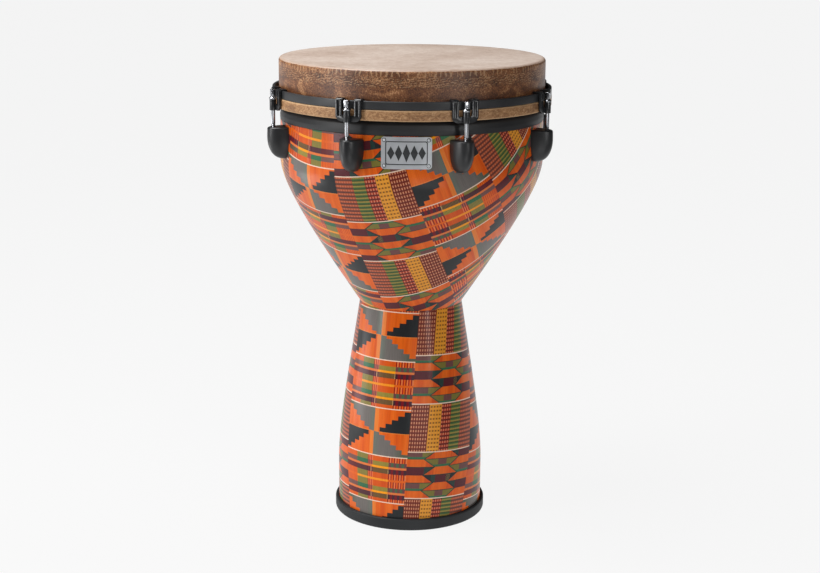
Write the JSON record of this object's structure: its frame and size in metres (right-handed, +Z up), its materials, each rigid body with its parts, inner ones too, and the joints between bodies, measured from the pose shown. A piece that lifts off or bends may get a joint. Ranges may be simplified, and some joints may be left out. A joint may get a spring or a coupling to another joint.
{
  "type": "djembe",
  "caption": "Goblet-shaped hand drum with a printed shell, a key-tuned skin-look head under a black hoop, lugs with tension rods around the bowl, and a rubber foot ring.",
  "frame": {"origin": "middle of the flat underside of the rubber foot ring, on the drum's axis", "axes": "+Z up along the drum's axis from the foot to the head; the badge faces -Y"},
  "size_m": [0.374, 0.374, 0.635],
  "materials": {
    "printed_shell": "glossy printed cloth-pattern wrap over a moulded fibre shell",
    "bare_fibre": "bare pressed fibre, matte",
    "black_ring": "black lacquer, satin",
    "foot_rubber": "matte moulded rubber",
    "head_film": "skin-look coated film, satin top and mottled brown collar",
    "tan_band": "tan mottled band, matte",
    "black_metal": "black powder coat, semi-gloss",
    "lug_black": "satin black",
    "chrome_rod": "bright plated",
    "brass_nut": "machined",
    "steel_screw": "zinc plated",
    "badge_metal": "satin grey anodised, engraved"
  },
  "bodies": {
    "shell": {"bowl_shell": "printed_shell", "stem_shell": "printed_shell", "waist_sleeve": "bare_fibre", "bearing_edge_ring": "black_ring", "foot_ring": "foot_rubber", "drumhead": "head_film", "badge_plate": "badge_metal", "badge_rivet_1": "badge_metal", "badge_rivet_2": "badge_metal", "badge_rivet_3": "badge_metal", "badge_rivet_4": "badge_metal", "lug_casing_1": "lug_black", "lug_casing_2": "lug_black", "lug_casing_3": "lug_black", "lug_casing_4": "lug_black", "lug_casing_5": "lug_black", "lug_casing_6": "lug_black", "lug_casing_7": "lug_black", "lug_casing_8": "lug_black", "lug_nut_1": "brass_nut", "lug_nut_2": "brass_nut", "lug_nut_3": "brass_nut", "lug_nut_4": "brass_nut", "lug_nut_5": "brass_nut", "lug_nut_6": "brass_nut", "lug_nut_7": "brass_nut", "lug_nut_8": "brass_nut", "lug_screw_1": "steel_screw", "lug_screw_2": "steel_screw", "lug_screw_3": "steel_screw", "lug_screw_4": "steel_screw", "lug_screw_5": "steel_screw", "lug_screw_6": "steel_screw", "lug_screw_7": "steel_screw", "lug_screw_8": "steel_screw"},
    "head_hoops": {"flesh_hoop": "tan_band", "counterhoop": "black_metal", "hoop_bracket_1": "black_metal", "hoop_bracket_2": "black_metal", "hoop_bracket_3": "black_metal", "hoop_bracket_4": "black_metal", "hoop_bracket_5": "black_metal", "hoop_bracket_6": "black_metal", "hoop_bracket_7": "black_metal", "hoop_bracket_8": "black_metal"},
    "rod_1": {"tension_rod_1": "chrome_rod"},
    "rod_2": {"tension_rod_2": "chrome_rod"},
    "rod_3": {"tension_rod_3": "chrome_rod"},
    "rod_4": {"tension_rod_4": "chrome_rod"},
    "rod_5": {"tension_rod_5": "chrome_rod"},
    "rod_6": {"tension_rod_6": "chrome_rod"},
    "rod_7": {"tension_rod_7": "chrome_rod"},
    "rod_8": {"tension_rod_8": "chrome_rod"}
  },
  "joints": [
    {"name": "head_tension", "type": "slide", "parent": "shell", "child": "head_hoops", "axis": [0, 0, -1], "range_m": [-0.004, 0.006]},
    {"name": "rod_turn_1", "type": "hinge", "parent": "head_hoops", "child": "rod_1", "pos_m": [0.07386, -0.17831, 0.585], "axis": [0, 0, -1], "range_deg": [-1440, 2160]},
    {"name": "rod_turn_2", "type": "hinge", "parent": "head_hoops", "child": "rod_2", "pos_m": [0.17831, -0.07386, 0.585], "axis": [0, 0, -1], "range_deg": [-1440, 2160]},
    {"name": "rod_turn_3", "type": "hinge", "parent": "head_hoops", "child": "rod_3", "pos_m": [0.17831, 0.07386, 0.585], "axis": [0, 0, -1], "range_deg": [-1440, 2160]},
    {"name": "rod_turn_4", "type": "hinge", "parent": "head_hoops", "child": "rod_4", "pos_m": [0.07386, 0.17831, 0.585], "axis": [0, 0, -1], "range_deg": [-1440, 2160]},
    {"name": "rod_turn_5", "type": "hinge", "parent": "head_hoops", "child": "rod_5", "pos_m": [-0.07386, 0.17831, 0.585], "axis": [0, 0, -1], "range_deg": [-1440, 2160]},
    {"name": "rod_turn_6", "type": "hinge", "parent": "head_hoops", "child": "rod_6", "pos_m": [-0.17831, 0.07386, 0.585], "axis": [0, 0, -1], "range_deg": [-1440, 2160]},
    {"name": "rod_turn_7", "type": "hinge", "parent": "head_hoops", "child": "rod_7", "pos_m": [-0.17831, -0.07386, 0.585], "axis": [0, 0, -1], "range_deg": [-1440, 2160]},
    {"name": "rod_turn_8", "type": "hinge", "parent": "head_hoops", "child": "rod_8", "pos_m": [-0.07386, -0.17831, 0.585], "axis": [0, 0, -1], "range_deg": [-1440, 2160]}
  ],
  "couplings": [
    {"joint": "rod_turn_1", "follows": "head_tension", "rad_per_m": 5936.9},
    {"joint": "rod_turn_2", "follows": "head_tension", "rad_per_m": 5936.9},
    {"joint": "rod_turn_3", "follows": "head_tension", "rad_per_m": 5936.9},
    {"joint": "rod_turn_4", "follows": "head_tension", "rad_per_m": 5936.9},
    {"joint": "rod_turn_5", "follows": "head_tension", "rad_per_m": 5936.9},
    {"joint": "rod_turn_6", "follows": "head_tension", "rad_per_m": 5936.9},
    {"joint": "rod_turn_7", "follows": "head_tension", "rad_per_m": 5936.9},
    {"joint": "rod_turn_8", "follows": "head_tension", "rad_per_m": 5936.9}
  ]
}
